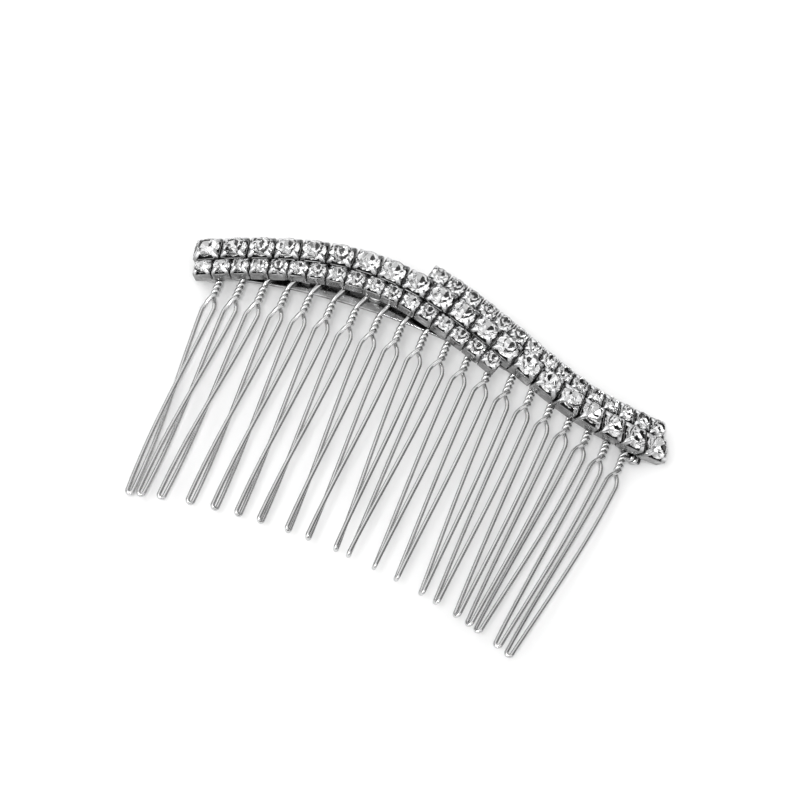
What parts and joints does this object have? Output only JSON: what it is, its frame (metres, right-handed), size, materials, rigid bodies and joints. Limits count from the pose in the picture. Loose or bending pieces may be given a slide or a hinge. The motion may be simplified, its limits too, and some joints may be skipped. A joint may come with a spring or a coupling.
{
  "type": "rhinestone hair comb",
  "caption": "Arched wire hair comb with long hairpin teeth on a flat metal band, and an S-shaped ornament of round rhinestones in square claw cups.",
  "frame": {"origin": "middle of the bounding box, on the surface that the comb lies on, concave side down", "axes": "+X along the comb, +Y from the tooth tips towards the ornament, +Z out of the convex face that carries the stones"},
  "size_m": [0.0764, 0.0506, 0.0149],
  "materials": {
    "band": "polished silver-tone plating",
    "wire": "silver-tone plated wire, slightly dulled by drawing and bending",
    "cups": "silver-tone plated pressed cups",
    "solder": "dull soft solder",
    "stone": "clear cut glass with a silver foil back"
  },
  "bodies": {
    "root": {"spine_band": "band", "tooth_01": "wire", "tooth_02": "wire", "tooth_03": "wire", "tooth_04": "wire", "tooth_05": "wire", "tooth_06": "wire", "tooth_07": "wire", "tooth_08": "wire", "tooth_09": "wire", "tooth_10": "wire", "tooth_11": "wire", "tooth_12": "wire", "tooth_13": "wire", "tooth_14": "wire", "tooth_15": "wire", "tooth_16": "wire", "tooth_17": "wire", "tooth_18": "wire", "tooth_19": "wire", "tooth_20": "wire", "wire_end_left": "wire", "wire_end_right": "wire", "large_cup_row": "cups", "left_small_cup_row": "cups", "right_small_cup_row": "cups", "large_stone_01": "stone", "large_stone_02": "stone", "large_stone_03": "stone", "large_stone_04": "stone", "large_stone_05": "stone", "large_stone_06": "stone", "large_stone_07": "stone", "large_stone_08": "stone", "large_stone_09": "stone", "large_stone_10": "stone", "large_stone_11": "stone", "large_stone_12": "stone", "large_stone_13": "stone", "large_stone_14": "stone", "large_stone_15": "stone", "large_stone_16": "stone", "large_stone_17": "stone", "large_stone_18": "stone", "large_stone_19": "stone", "large_stone_20": "stone", "left_small_stones": "stone", "right_small_stones": "stone", "solder_pad_1": "solder", "solder_pad_2": "solder", "solder_pad_3": "solder", "solder_pad_4": "solder", "solder_pad_5": "solder", "solder_pad_6": "solder", "solder_pad_7": "solder"}
  },
  "joints": []
}
